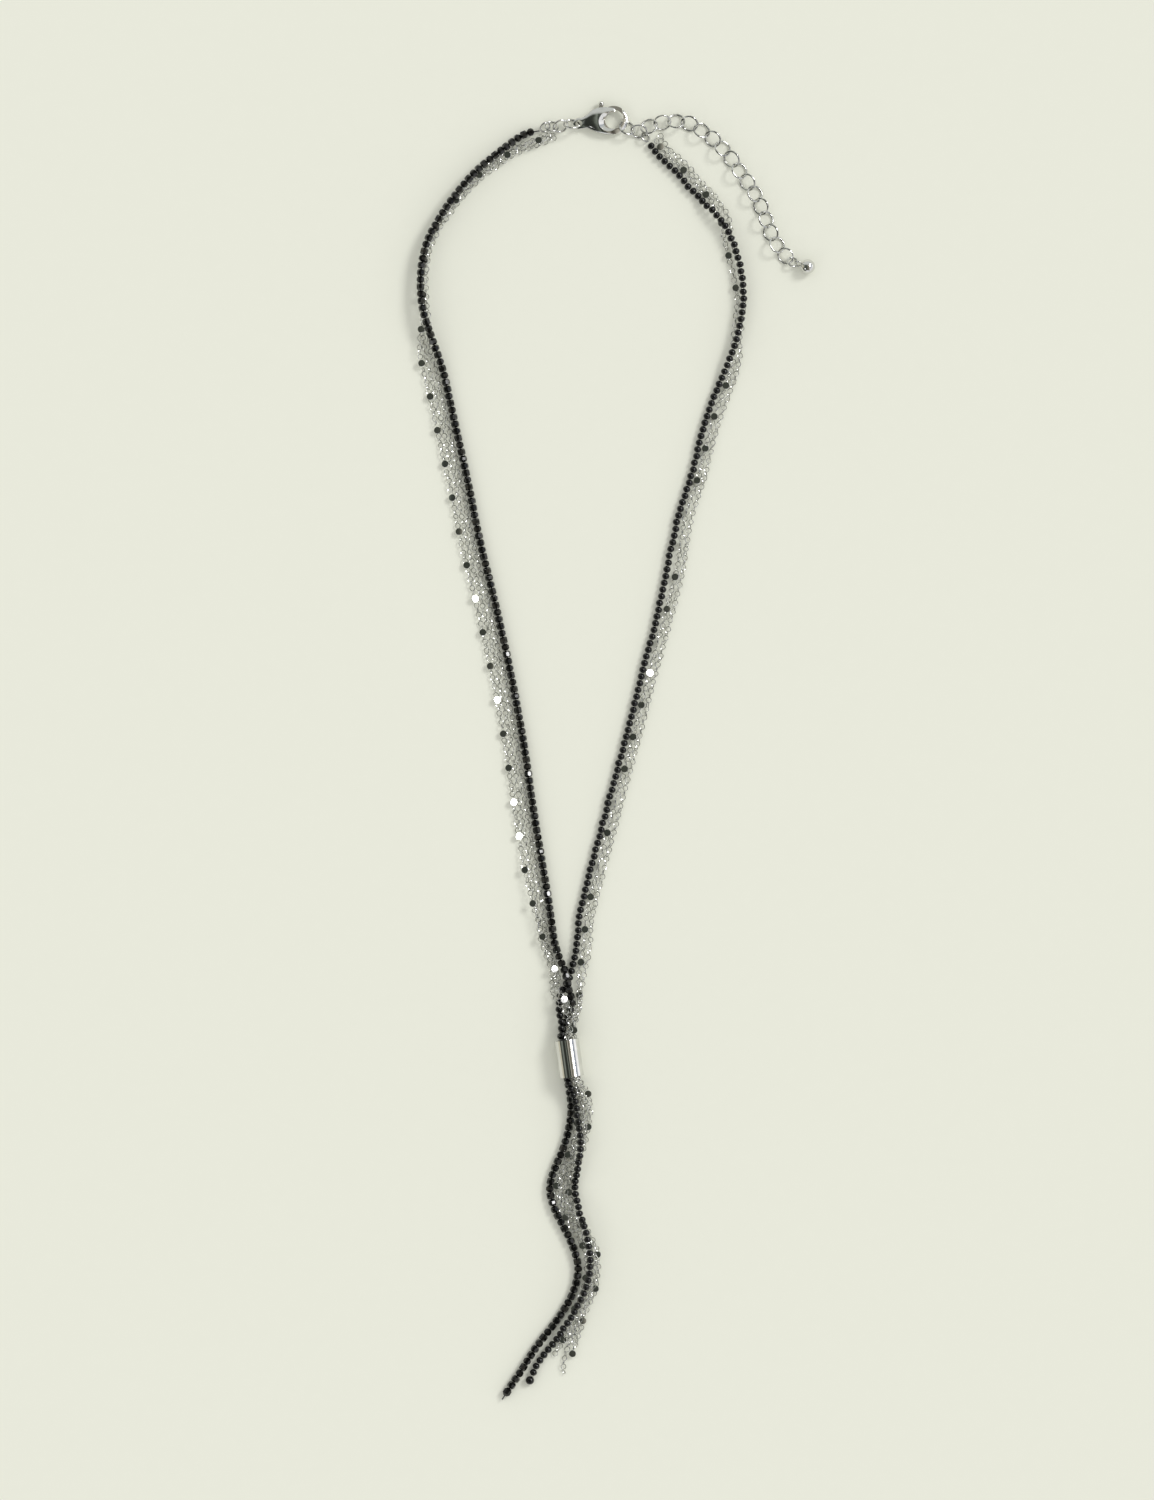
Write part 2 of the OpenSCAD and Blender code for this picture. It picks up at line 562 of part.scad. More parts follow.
module slider_tube() {
    color(BRIGHT_SILVER) placed()
        translate([TUBE_AT.x, TUBE_AT.y, tube_r])
            rotate([90, 0, TUBE_TILT])
                difference() {
                    cylinder(r = tube_r, h = tube_len, center = true, $fn = 64);
                    cylinder(d = tube_bore_d, h = tube_len + 2, center = true, $fn = 64);
                }
}

// Outline of the teardrop, from the eye to the ring round the opening
function teardrop() = let(
    big = hook_outer_d / 2 - shell_inset, small = eye_d / 2,
    half = acos((small - big) / clasp_reach))
    concat(
        [for (k = [0 : OUTLINE_STEPS]) let(a = -half + 2 * half * k / OUTLINE_STEPS)
            [clasp_reach + big * cos(a), big * sin(a)]],
        [for (k = [0 : OUTLINE_STEPS]) let(a = half + (360 - 2 * half) * k / OUTLINE_STEPS)
            [small * cos(a), small * sin(a)]]
    );

module in_clasp() {
    translate([eye_at.x, eye_at.y, clasp_z])
        rotate([0, 0, CLASP_TURN])
            children();
}

// Body, thick at its middle line and thin at its sides and at the eye
module clasp_shell() {
    intersection() {
        linear_extrude(clasp_thick, center = true)
            polygon(teardrop());
        translate([0, 0, clasp_thick / 2 - lens_r])
            rotate([0, 90, 0])
                cylinder(r = lens_r, h = 4 * clasp_reach, center = true, $fn = 96);
        translate([0, 0, lens_r - clasp_thick / 2])
            rotate([0, 90, 0])
                cylinder(r = lens_r, h = 4 * clasp_reach, center = true, $fn = 96);
    }
}

module clasp_body() {
    wide = hook_outer_d * 2;
    color(BRIGHT_SILVER) placed()
        in_clasp() {
            difference() {
                clasp_shell();
                // opening, and the side where the hook's wire takes over
                translate([clasp_reach, 0, 0])
                    cylinder(d = hook_open_d, h = clasp_thick + 2, center = true, $fn = 64);
                translate([clasp_reach - SHELL_END, -wide, -clasp_thick])
                    cube([wide, 2 * wide, 2 * clasp_thick]);
                // eye, thinned from both faces
                for (side = [-1, 1])
                    translate([0, 0, side * (eye_thick / 2 + clasp_thick / 2)])
                        cylinder(r = eye_d / 2 + EYE_RIM, h = clasp_thick, center = true, $fn = 64);
                cylinder(d = eye_hole_d, h = clasp_thick + 2, center = true, $fn = 48);
                // slot of the lever
                translate([pivot.x - lever_d / 2 - SLOT_BEHIND, SLOT_SIDE, -slot_h / 2])
                    cube([wide, wide, slot_h]);
            }
            difference() {
                translate([clasp_reach, 0, 0])
                    wire_ring(hook_r, hook_wire_d / 2, HOOK_FROM, HOOK_TO - HOOK_FROM);
                // the nose ends on a circle round the lever's pin
                intersection() {
                    translate([pivot.x, pivot.y, 0])
                        cylinder(r = nose_joint + joint_gap / 2, h = clasp_thick, center = true, $fn = 96);
                    translate([0, 0, -clasp_thick])
                        cube([2 * clasp_reach, wide, 2 * clasp_thick]);
                }
            }
            translate([pivot.x, pivot.y, 0])
                cylinder(d = pin_d, h = slot_h + 2 * PIN_ROOT, center = true, $fn = 32);
        }
}

module clasp_lever() {
    arm = knob_at - pivot;
    color(BRIGHT_SILVER) placed()
        in_clasp()
            difference() {
                union() {
                    translate([pivot.x, pivot.y, 0])
                        cylinder(d = lever_d, h = lever_thick, center = true, $fn = 48);
                    // gate that closes the hook
                    intersection() {
                        translate([clasp_reach, 0, 0])
                            rotate([0, 0, GATE_TO])
                                rotate_extrude(angle = GATE_FROM - GATE_TO, $fn = 96)
                                    translate([hook_r - gate_w / 2, -lever_thick / 2])
                                        square([gate_w, lever_thick]);
                        translate([pivot.x, pivot.y, 0])
                            cylinder(r = nose_joint - joint_gap / 2, h = lever_thick,
                                center = true, $fn = 96);
                    }
                    // arm and thumb knob
                    translate([pivot.x, pivot.y, 0])
                        rotate([0, 0, heading_of(arm)])
                            translate([0, -gate_w / 2, -lever_thick / 2])
                                cube([norm(arm), gate_w, lever_thick]);
                    translate([knob_at.x, knob_at.y, 0])
                        sphere(d = knob_d, $fn = 48);
                }
                translate([pivot.x, pivot.y, 0])
                    cylinder(d = pin_d + 2 * pin_play, h = lever_thick + 2, center = true, $fn = 48);
            }
}

module clasp_eye_ring() {
    color(SILVER) placed()
        ring(eye_at + [-2.14, -0.15], 174, EYE_RING[2], EYE_RING[0], EYE_RING[1]);
}

module left_gather_ring() {
    color(SILVER) placed()
        ring(eye_at + [-5.14, -0.7], 205, GATHER_RING[2], GATHER_RING[0], GATHER_RING[1]);
}

module left_link() {
    color(SILVER) placed()
        ring(eye_at + [-7.64, -0.8], 165, SIDE_LINK[2], SIDE_LINK[0], SIDE_LINK[1]);
}

module faceted_end_loop() {
    color(SILVER) placed()
        ring(eye_at + [-9.49, -1.0], 215, END_LOOP[2], END_LOOP[0], END_LOOP[1]);
}

module hook_ring() {
    color(SILVER) placed()
        ring(HOOK_RING_AT, HOOK_RING_TURN, HOOK_RING[2], HOOK_RING[0], HOOK_RING[1]);
}

module right_gather_ring() {
    color(SILVER) placed()
        ring(HOOK_RING_AT + [3.32, -0.92], -5, RIGHT_RING[2], RIGHT_RING[0], RIGHT_RING[1]);
}

module round_end_loop() {
    color(SILVER) placed()
        ring(HOOK_RING_AT + [5.07, -2.52], -56, ROUND_LOOP[2], ROUND_LOOP[0], ROUND_LOOP[1]);
}

module extender_link(k) {
    s = link_r + (k - 1) * link_pitch;
    color(SILVER) placed()
        ring(along(s), heading_of(along(s + link_r) - along(s - link_r)),
            k % 2 == 1 ? -LINK_LEAN : LINK_LEAN, link_r, link_wire);
}

// End of the extender: a small ring, and the ball on its wire eyelet
RING_SLACK = 0.1;
EYELET_DROP = 0.75;
EYELET_LEAN = 50;
end_ring_wire = 0.25;
end_ring_r = 1.5;
end_ring_s = LINK_COUNT * link_pitch + end_ring_r - end_ring_wire - link_wire + RING_SLACK;
eyelet_r = 0.95;
eyelet_wire = 0.22;
ball_s = end_ring_s + end_ring_r + eyelet_r + end_ball_d / 2 - RING_SLACK;

module extender_end_ring() {
    color(SILVER) placed()
        ring(along(end_ring_s),
            heading_of(along(end_ring_s + end_ring_r) - along(end_ring_s - end_ring_r)),
            -LINK_LEAN, end_ring_r, end_ring_wire);
}

module end_ball() {
    at = along(ball_s);
    way = heading_of(at - along(ball_s - end_ball_d));
    color(BRIGHT_SILVER) placed()
        translate([at.x, at.y, end_ball_d / 2])
            rotate([0, 0, way]) {
                sphere(d = end_ball_d, $fn = 64);
                translate([-end_ball_d / 2 - eyelet_r + eyelet_wire, 0, -EYELET_DROP])
                    rotate([EYELET_LEAN, 0, 0])
                        wire_ring(eyelet_r, eyelet_wire);
            }
}

faceted_beads_neck();
faceted_beads_tail();
faceted_thread();
faceted_end_bead();
round_beads_neck();
round_beads_tail();
round_end_bead();
chain(left_1_route);  // left_chain_1
chain(left_2_route);  // left_chain_2
chain(left_3_route);  // left_chain_3
chain(right_1_route);  // right_chain_1
chain(right_2_route);  // right_chain_2
slider_tube();
clasp_body();
clasp_lever();
clasp_eye_ring();
left_gather_ring();
left_link();
faceted_end_loop();
hook_ring();
right_gather_ring();
round_end_loop();
extender_link(1);  // extender_link_1
extender_link(2);  // extender_link_2
extender_link(3);  // extender_link_3
extender_link(4);  // extender_link_4
extender_link(5);  // extender_link_5
extender_link(6);  // extender_link_6
extender_link(7);  // extender_link_7
extender_link(8);  // extender_link_8
extender_link(9);  // extender_link_9
extender_link(10);  // extender_link_10
extender_link(11);  // extender_link_11
extender_link(12);  // extender_link_12
extender_link(13);  // extender_link_13
extender_link(14);  // extender_link_14
extender_link(15);  // extender_link_15
extender_link(16);  // extender_link_16
extender_end_ring();
end_ball();
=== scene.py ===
"""Lariat necklace: strings beads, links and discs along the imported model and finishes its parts."""
import math
import random

import bmesh
import bpy
from bpy.props import FloatProperty, FloatVectorProperty, PointerProperty
from mathutils import Matrix, Vector


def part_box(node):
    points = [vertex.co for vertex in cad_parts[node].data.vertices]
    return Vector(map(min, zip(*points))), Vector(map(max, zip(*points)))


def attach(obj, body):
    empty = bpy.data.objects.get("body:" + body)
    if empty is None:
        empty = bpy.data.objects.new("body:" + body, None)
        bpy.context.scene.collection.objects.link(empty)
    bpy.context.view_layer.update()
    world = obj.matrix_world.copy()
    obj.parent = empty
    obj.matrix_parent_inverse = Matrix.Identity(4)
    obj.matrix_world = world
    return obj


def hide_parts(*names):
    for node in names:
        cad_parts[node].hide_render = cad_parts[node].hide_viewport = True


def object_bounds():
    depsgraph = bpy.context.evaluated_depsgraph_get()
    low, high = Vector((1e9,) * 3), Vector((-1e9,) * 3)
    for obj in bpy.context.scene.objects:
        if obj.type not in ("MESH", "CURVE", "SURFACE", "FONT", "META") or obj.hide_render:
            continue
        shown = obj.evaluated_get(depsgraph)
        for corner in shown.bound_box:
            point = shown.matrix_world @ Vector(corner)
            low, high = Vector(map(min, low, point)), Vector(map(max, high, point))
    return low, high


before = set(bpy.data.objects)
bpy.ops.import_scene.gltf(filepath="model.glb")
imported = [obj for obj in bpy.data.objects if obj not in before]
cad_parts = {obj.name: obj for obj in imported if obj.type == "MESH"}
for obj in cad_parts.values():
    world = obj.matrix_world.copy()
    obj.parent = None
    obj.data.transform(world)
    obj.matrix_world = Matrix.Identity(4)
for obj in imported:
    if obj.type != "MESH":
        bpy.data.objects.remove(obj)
CAD_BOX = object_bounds()

bl_info = {
    "name": "Lariat Necklace",
    "version": (1, 0, 0),
    "blender": (4, 5, 0),
    "location": "3D View > Sidebar > Necklace",
    "description": "Strings beads, links and discs along a lariat necklace and finishes its parts",
    "category": "Add Mesh",
}

MM = 0.001
BODY = "necklace"
# Least height of a new piece above the table
CLEAR = 0.01 * MM

# Reading a strand's tube: points nearer than the first are one, an edge sharper than the second
# belongs to a rim, and a rim lies within the third of its top
SAME_POINT = 0.0005 * MM
RIM_ANGLE = math.radians(60)
RIM_REACH = 4 * MM
# Half of the length over which a strand's way is measured
WAY_REACH = 0.4 * MM
# A point this near to a plane lies in it
NEAR = 0.01 * MM
# Faces that meet at less than these angles are shaded as one
SMOOTH_BELOW = math.radians(40)
CLASP_SMOOTH_BELOW = math.radians(35)

# The picture: its height on the table, its middle and the camera's distance
PICTURE_HEIGHT = 420 * MM
PICTURE_MIDDLE = (-10.66 * MM, 0.14 * MM)
CAMERA_HEIGHT = 2.5
SENSOR = 36.0
TABLE_WIDE = 12.0

RINGS = (
    "clasp_eye_ring", "left_gather_ring", "left_link", "faceted_end_loop", "hook_ring",
    "right_gather_ring", "round_end_loop", "extender_end_ring",
) + tuple("extender_link_%d" % k for k in range(1, 17))
FACETED = ("faceted_beads_neck", "faceted_beads_tail", "faceted_end_bead")
POLISHED = ("slider_tube", "clasp_lever", "end_ball")
PLAIN_CHAINS = ("left_chain_1", "left_chain_2", "right_chain_1")
DISC_CHAINS = ("left_chain_3", "right_chain_2")

# Depth of fine marks in glass and of the grain in plated metal
GLASS_MARK_DEEP = 0.02 * MM
METAL_GRAIN_DEEP = 0.01 * MM
# Where the painted dark reflection ends and bright metal begins in its pattern
METAL_PAINTED_DARK = 0.42
METAL_BRIGHT = 0.56
# Thread: distance from one twist to the next, and how deep it is cut
TWIST = 2.5 * MM
TWIST_DEEP = 0.03 * MM
# Size of the roller's mottle on the board
MOTTLE = 4.0 * MM

# Clasp, in its own plane: the eye is at 0, 0 and the hook's middle on the line across
CLASP_TURN = math.radians(5.2)
CLASP_REACH = 9.75 * MM
EYE_OUT = 1.6 * MM
EYE_HOLE = 0.9 * MM
HOOK_OUT = 4.05 * MM
CLASP_MIDDLE = 1.6 * MM
PIN_AT = (6.2 * MM, 1.9 * MM)
CLASP_EDGE = 0.1 * MM
PIN_RADIUS = 0.45 * MM
PIN_LONG = 1.8 * MM
# Cuts: the opening, the bevel on its rim, and the lever's gap and slot as size and middle
CUT_TALL = 4 * MM
OPENING = 2.45 * MM
RIM_CONE = {"radius1": 1.7 * MM, "radius2": 3.3 * MM, "depth": 1.15 * MM}
RIM_CONE_AT = (CLASP_REACH - 1.15 * MM, -0.45 * MM, 1.05 * MM)
GAP = (2.2 * MM, 4.8 * MM, CUT_TALL)
GAP_AT = (11.4 * MM, 2.6 * MM, 0)
SLOT = (6.2 * MM, 4.7 * MM, 1.4 * MM)
SLOT_AT = (7.5 * MM, 2.65 * MM, 0)
# The disc that the body is drawn from: its thickness, and where it is fuller than an oval
DRAWN_FROM = 0.02 * MM
FULL_BEYOND = 0.4 * MM
FULLER = 1.07
# Sections of the body: distance from the eye, half width, half thickness and shift aside in mm
CLASP_SECTIONS = (
    (-1.6, 0.3, 0.22, 0.0), (-1.2, 1.05, 0.36, 0.0), (-0.38, 1.55, 0.4, 0.0), (0.8, 1.5, 0.5, 0.0),
    (2.2, 1.8, 0.85, 0.3), (3.1, 2.4, 1.1, 0.45), (4.0, 3.0, 1.3, 0.5), (5.3, 3.55, 1.5, 0.4),
    (6.6, 3.8, 1.58, 0.25), (7.8, 3.92, 1.5, 0.1), (8.8, 4.0, 1.34, 0.0), (9.8, 4.0, 1.15, 0.0),
    (11.2, 3.75, 0.95, 0.0), (12.4, 3.02, 0.75, 0.0), (13.2, 2.03, 0.6, 0.0),
    (13.6, 1.1, 0.48, 0.0), (13.75, 0.3, 0.25, 0.0),
)

# Place of the first disc along each disc chain
FIRST_DISC = {"left_chain_3": 4.96 * MM, "right_chain_2": 2.91 * MM}
# Discs that lean to the right, where they mirror the lamp, and discs that hang on edge,
# both counted from the upper end
DISC_GLINTS = {"left_chain_3": (15, 18, 21, 22, 26, 27), "right_chain_2": (17,)}
DISCS_ON_EDGE = {"left_chain_3": (), "right_chain_2": (6, 7, 12, 13, 16, 21, 23)}
DISC_TILT = math.radians(-2)
DISC_GLINT_TILT = math.radians(17.5)
DISC_EDGE_TILT = math.radians(78)
# Further tilt and nod of each disc in radians, from the first value to the second, and how far
# a disc stands above its chain's middle as a share of a link
DISC_TILT_PLAY = (-0.05, 0.03)
DISC_NOD = (-0.065, -0.02)
DISC_RISE = 0.3

# Play of the links: lean and turn in radians, slip along and across the chain in mm
LINK_LEAN = 0.5
LINK_TURN = 0.6
LINK_SLIP = 0.1
LINK_LEAST = 0.88
# Stretch of each half of a link along the chain
LINK_STRETCH = 0.04 * MM
# Links are left out within this share of a disc's size
DISC_FREE = 0.5
# Worn edge of a disc, the share of its size round its dome, and how far the dome is raised
DISC_WORN = 0.06 * MM
DISC_RIM = 0.2
DISC_DOME = 1.04
# Smallest bead beside the largest, and its largest turn about the bore in radians
BEAD_LEAST = 0.96
BEAD_TURN = 3
# Ends of a bead: where they begin, as a share of its size, and how flat they are
BEAD_END = 0.49
BEAD_END_FLAT = 0.9
# Starts of the random draws
BEAD_DRAW = 3
CHAIN_DRAW = 7

# Lights: width in degrees and the way to each
KEY = (18, (0.60, 0.46, 0.66))
FILL = (16, (-0.60, -0.58, 0.55))

# What polished surfaces mirror, from the far left to the far right of the room
ROOM = (
    (0.0, "#DAD6C0"), (0.025, "#DAD6C0"), (0.045, "#2A2D29"), (0.09, "#6A6F66"), (0.14, "#8A8F86"),
    (0.2, "#2A2D29"), (0.32, "#33362F"), (0.38, "#7C8278"), (0.41, "#363A34"), (0.49, "#42443D"),
    (0.52, "#B0AC9E"), (0.56, "#A8A498"), (0.6, "#565248"), (0.64, "#565248"), (0.68, "#B0AC9E"),
    (0.73, "#CFCBBE"), (0.77, "#FAFAFA"), (0.82, "#FAFAFA"), (0.86, "#868C95"), (0.9, "#B4BAC4"),
    (0.935, "#868C95"), (0.965, "#FAFAFA"),
)
# Its strength, from a place towards the front to one towards the back
FRONT, FRONT_POWER = -0.2, 0.9
BACK, BACK_POWER = 0.7, 1.7
# Edges of its cards: the axis, where a card starts along it and where it is full
CARD_EDGES = {
    "above": ("Y", 0.3, 0.55), "right": ("X", 0.4, 0.5), "low": ("Z", 0.52, 0.44),
    "nearer": ("Y", 0.08, 0.03), "front": ("Y", -0.86, -0.94),
}
UPPER_CARD = "#A2A4A0"
WHITE_CARD = "#FCFCFC"
# Its lamp: the way to it, half its width and its soft edge in degrees, and its brightness
LAMP_WAY = (0.60, 0.09, 0.79)
LAMP_WIDE = 4.5
LAMP_SOFT = 1
LAMP_BRIGHT = 20.0


def linear(code):
    """Linear colour with alpha of an sRGB hex value such as #E8E9DB."""
    parts = [int(code[k:k + 2], 16) / 255 for k in (1, 3, 5)]
    return tuple(c / 12.92 if c <= 0.04045 else ((c + 0.055) / 1.055) ** 2.4 for c in parts) + (1.0,)


class NecklaceSizes(bpy.types.PropertyGroup):
    """Sizes of the beads, the links and the discs"""
    bead: FloatProperty(
        name="Round bead", description="Diameter of a round bead",
        default=2.15 * MM, min=1.0 * MM, max=3.0 * MM, unit="LENGTH", precision=5)
    bead_length: FloatProperty(
        name="Bead length", description="Length of a round bead along its bore",
        default=1.9 * MM, min=0.8 * MM, max=3.0 * MM, unit="LENGTH", precision=5)
    bead_pitch: FloatProperty(
        name="Bead pitch", description="Distance from one round bead to the next",
        default=1.93 * MM, min=1.0 * MM, max=3.5 * MM, unit="LENGTH", precision=5)
    bead_sway: FloatProperty(
        name="Bead sway", description="How far the round beads stand out of line",
        default=0.14 * MM, min=0.0, max=0.4 * MM, unit="LENGTH", precision=5)
    link: FloatProperty(
        name="Chain link", description="Outer diameter of a link of the fine chains",
        default=1.7 * MM, min=1.0 * MM, max=3.0 * MM, unit="LENGTH", precision=5)
    link_wire: FloatProperty(
        name="Link wire", description="Thickness of a link's wire",
        default=0.23 * MM, min=0.15 * MM, max=0.6 * MM, unit="LENGTH", precision=5)
    link_pitch: FloatProperty(
        name="Link pitch", description="Distance from one link to the next",
        default=1.28 * MM, min=0.6 * MM, max=2.0 * MM, unit="LENGTH", precision=5)
    disc: FloatProperty(
        name="Disc", description="Diameter of a flat disc on a chain",
        default=2.0 * MM, min=1.0 * MM, max=4.0 * MM, unit="LENGTH", precision=5)
    disc_thick: FloatProperty(
        name="Disc thickness", description="Thickness of a disc",
        default=0.35 * MM, min=0.1 * MM, max=1.0 * MM, unit="LENGTH", precision=5)
    left_disc_pitch: FloatProperty(
        name="Left disc pitch", description="Distance from one disc to the next on the left",
        default=9.66 * MM, min=4.0 * MM, max=30.0 * MM, unit="LENGTH", precision=5)
    right_disc_pitch: FloatProperty(
        name="Right disc pitch", description="Distance from one disc to the next on the right",
        default=9.26 * MM, min=4.0 * MM, max=30.0 * MM, unit="LENGTH", precision=5)


class NecklaceColours(bpy.types.PropertyGroup):
    """Colours of the necklace and of the table"""
    faceted: FloatVectorProperty(
        name="Faceted glass", description="Colour of the faceted beads", subtype="COLOR",
        size=4, min=0.0, max=1.0, default=linear("#0A0A09"))
    round: FloatVectorProperty(
        name="Round glass", description="Colour of the round beads", subtype="COLOR",
        size=4, min=0.0, max=1.0, default=linear("#050506"))
    thread: FloatVectorProperty(
        name="Thread", description="Colour of the thread", subtype="COLOR",
        size=4, min=0.0, max=1.0, default=linear("#2C2C2E"))
    metal: FloatVectorProperty(
        name="Metal", description="Colour of the plated metal", subtype="COLOR",
        size=4, min=0.0, max=1.0, default=linear("#E2E2E0"))
    table: FloatVectorProperty(
        name="Table", description="Colour of the table under the necklace", subtype="COLOR",
        size=4, min=0.0, max=1.0, default=linear("#E8E9DB"))


class NecklaceLight(bpy.types.PropertyGroup):
    """Strength of the studio's lights"""
    room: FloatProperty(
        name="Room", description="Strength of the even light from all round",
        default=0.93, min=0.0, max=5.0)
    cards: FloatProperty(
        name="Cards", description="Brightness of what polished surfaces mirror",
        default=1.05, min=0.0, max=5.0)
    key: FloatProperty(
        name="Key light", description="Strength of the light from the upper right",
        default=1.15, min=0.0, max=20.0)
    fill: FloatProperty(
        name="Fill light", description="Strength of the weak light from the lower left",
        default=0.12, min=0.0, max=20.0)


def settings(kind):
    """The user's sizes, colours or light."""
    return getattr(bpy.context.scene, "necklace_" + kind)


# Nodes and materials

def add_node(tree, kind, links=None, values=None, **settings_of_node):
    """Adds a node with its settings, links its inputs to sockets and sets the values of others."""
    made = tree.nodes.new(kind)
    for key, value in settings_of_node.items():
        setattr(made, key, value)
    for key, value in (values or {}).items():
        made.inputs[key].default_value = value
    for key, socket in (links or {}).items():
        tree.links.new(socket, made.inputs[key])
    return made


def new_material(name):
    """An empty material and its node tree."""
    made = bpy.data.materials.new(name)
    made.use_nodes = True
    made.node_tree.nodes.clear()
    return made, made.node_tree


def set_stops(ramp, stops):
    """Gives a colour ramp its stops, which are pairs of a place and a colour."""
    while len(ramp.elements) > 1:
        ramp.elements.remove(ramp.elements[-1])
    ramp.elements[0].position, ramp.elements[0].color = stops[0]
    for place, colour in stops[1:]:
        ramp.elements.new(place).color = colour


def darker(colour, share):
    """A colour scaled by a share, at most white."""
    return tuple(min(1.0, c * share) for c in colour[:3]) + (1.0,)


def jet_glass(name, colour, bead, paler, rough_low, rough_high, mark, bump, lustre):
    """Black glass: each bead a little paler or darker, with fine marks and a lustre on its polish."""
    made, tree = new_material(name)
    place = add_node(tree, "ShaderNodeTexCoord").outputs["Object"]
    cells = add_node(tree, "ShaderNodeTexVoronoi", {"Vector": place}, {"Scale": 1 / bead})
    tone = add_node(tree, "ShaderNodeValToRGB", {"Fac": cells.outputs["Color"]})
    set_stops(tone.color_ramp, [(0.2, colour), (0.8, darker(colour, paler))])
    marks = add_node(
        tree, "ShaderNodeTexNoise", {"Vector": place}, {"Scale": 1 / mark, "Detail": 4.0})
    rough = add_node(
        tree, "ShaderNodeMapRange", {"Value": marks.outputs["Fac"]},
        {"To Min": rough_low, "To Max": rough_high})
    relief = add_node(
        tree, "ShaderNodeBump", {"Height": marks.outputs["Fac"]},
        {"Strength": bump, "Distance": GLASS_MARK_DEEP})
    shader = add_node(
        tree, "ShaderNodeBsdfPrincipled",
        {"Base Color": tone.outputs["Color"], "Roughness": rough.outputs["Result"],
         "Normal": relief.outputs["Normal"]},
        {"IOR": lustre})
    add_node(tree, "ShaderNodeOutputMaterial", {"Surface": shader.outputs["BSDF"]})
    return made


def plated(name, colour, painted_dark, rough_low, rough_high, grain, bump, spot=3.0 * MM):
    """Plated metal: polished, with a grain in its shine and random darker spots, painted reflection of
    the dark room.
    """
    made, tree = new_material(name)
    place = add_node(tree, "ShaderNodeTexCoord").outputs["Object"]
    fine = add_node(
        tree, "ShaderNodeTexNoise", {"Vector": place},
        {"Scale": 1 / grain, "Detail": 5.0, "Roughness": 0.6})
    # random spots where the metal's colour is painted darker: painted reflection of the dark room
    painted_spots = add_node(tree, "ShaderNodeTexNoise", {"Vector": place}, {"Scale": 1 / spot, "Detail": 2.0})
    tone = add_node(tree, "ShaderNodeValToRGB", {"Fac": painted_spots.outputs["Fac"]})
    set_stops(tone.color_ramp, [(METAL_PAINTED_DARK, darker(colour, painted_dark)), (METAL_BRIGHT, colour)])
    rough = add_node(
        tree, "ShaderNodeMapRange", {"Value": fine.outputs["Fac"]},
        {"From Min": 0.3, "From Max": 0.7, "To Min": rough_low, "To Max": rough_high})
    relief = add_node(
        tree, "ShaderNodeBump", {"Height": fine.outputs["Fac"]},
        {"Strength": bump, "Distance": METAL_GRAIN_DEEP})
    shader = add_node(
        tree, "ShaderNodeBsdfPrincipled",
        {"Base Color": tone.outputs["Color"], "Roughness": rough.outputs["Result"],
         "Normal": relief.outputs["Normal"]},
        {"Metallic": 1.0})
    add_node(tree, "ShaderNodeOutputMaterial", {"Surface": shader.outputs["BSDF"]})
    return made


def twisted_nylon(colour):
    """Nylon thread, twisted from filaments: matt, with the twist as fine slanted ridges, painted darker
    in the grooves and lighter on the crests.
    """
    made, tree = new_material("nylon thread twisted")
    place = add_node(tree, "ShaderNodeTexCoord").outputs["Object"]
    ridges = add_node(
        tree, "ShaderNodeTexWave", {"Vector": place},
        {"Scale": 1 / TWIST, "Distortion": 2.0}, bands_direction="DIAGONAL")
    # painted shade in the grooves and painted sheen on the crests of the twist
    tone = add_node(tree, "ShaderNodeValToRGB", {"Fac": ridges.outputs["Fac"]})
    set_stops(tone.color_ramp, [(0.0, darker(colour, 0.6)), (1.0, darker(colour, 1.4))])
    relief = add_node(
        tree, "ShaderNodeBump", {"Height": ridges.outputs["Fac"]},
        {"Strength": 0.5, "Distance": TWIST_DEEP})
    shader = add_node(
        tree, "ShaderNodeBsdfPrincipled",
        {"Base Color": tone.outputs["Color"], "Normal": relief.outputs["Normal"]},
        {"Roughness": 0.6, "IOR": 1.53})
    add_node(tree, "ShaderNodeOutputMaterial", {"Surface": shader.outputs["BSDF"]})
    return made


def painted_board(colour):
    """Matt painted board, rolled: even, with the faintest mottle of the roller."""
    made, tree = new_material("matt painted board rolled")
    place = add_node(tree, "ShaderNodeTexCoord").outputs["Object"]
    mottle = add_node(
        tree, "ShaderNodeTexNoise", {"Vector": place}, {"Scale": 1 / MOTTLE, "Detail": 3.0})
    tone = add_node(tree, "ShaderNodeValToRGB", {"Fac": mottle.outputs["Fac"]})
    set_stops(tone.color_ramp, [(0.3, darker(colour, 0.995)), (0.7, colour)])
    shader = add_node(
        tree, "ShaderNodeBsdfPrincipled", {"Base Color": tone.outputs["Color"]},
        {"Roughness": 1.0, "Specular IOR Level": 0.0})
    add_node(tree, "ShaderNodeOutputMaterial", {"Surface": shader.outputs["BSDF"]})
    return made


# Lines along the strands

def middle_line(name):
    """Middle points of a strand's tube, from its upper end, read from the rings of its mesh."""
    tube = bmesh.new()
    tube.from_mesh(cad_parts[name].data)
    bmesh.ops.remove_doubles(tube, verts=tube.verts, dist=SAME_POINT)
    joined = [e for e in tube.edges if len(e.link_faces) == 2]
    rims = {v for e in joined if e.calc_face_angle() > RIM_ANGLE for v in e.verts}
    top = max(rims, key=lambda v: v.co.y)
    ring = {v for v in rims if (v.co - top.co).length < RIM_REACH}
    seen, line = set(ring), []
    while ring:
        line.append(sum((v.co for v in ring), Vector()) / len(ring))
        ring = {e.other_vert(v) for v in ring for e in v.link_edges} - seen
        seen |= ring
    tube.free()
    return line


